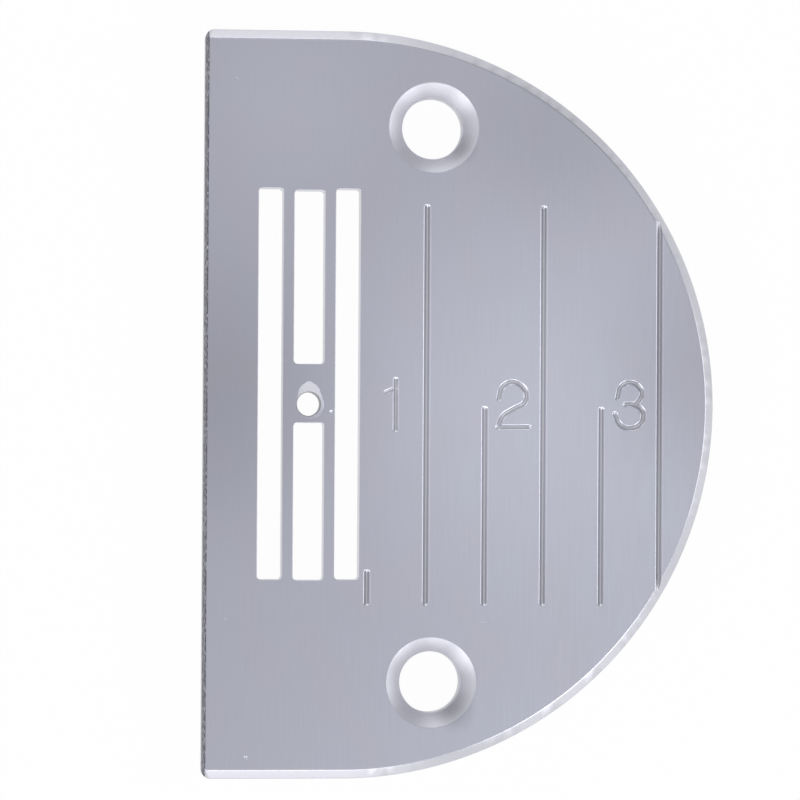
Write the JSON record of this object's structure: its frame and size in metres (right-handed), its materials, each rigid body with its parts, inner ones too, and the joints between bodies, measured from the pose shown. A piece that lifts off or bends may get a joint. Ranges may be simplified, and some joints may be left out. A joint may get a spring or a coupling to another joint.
{
  "type": "sewing machine needle plate",
  "caption": "D-shaped steel needle plate with feed slots, a needle hole, countersunk screw holes and engraved seam graduations.",
  "frame": {"origin": "centre of the needle hole, on the sewing surface", "axes": "+Z out of the sewing surface, +Y along the feed, +X across the seam towards the graduations"},
  "size_m": [0.0435, 0.0634, 0.003],
  "materials": {
    "ground_steel": "fine ground and satin polished steel"
  },
  "bodies": {
    "root": {"needle_plate": "ground_steel"}
  },
  "joints": []
}
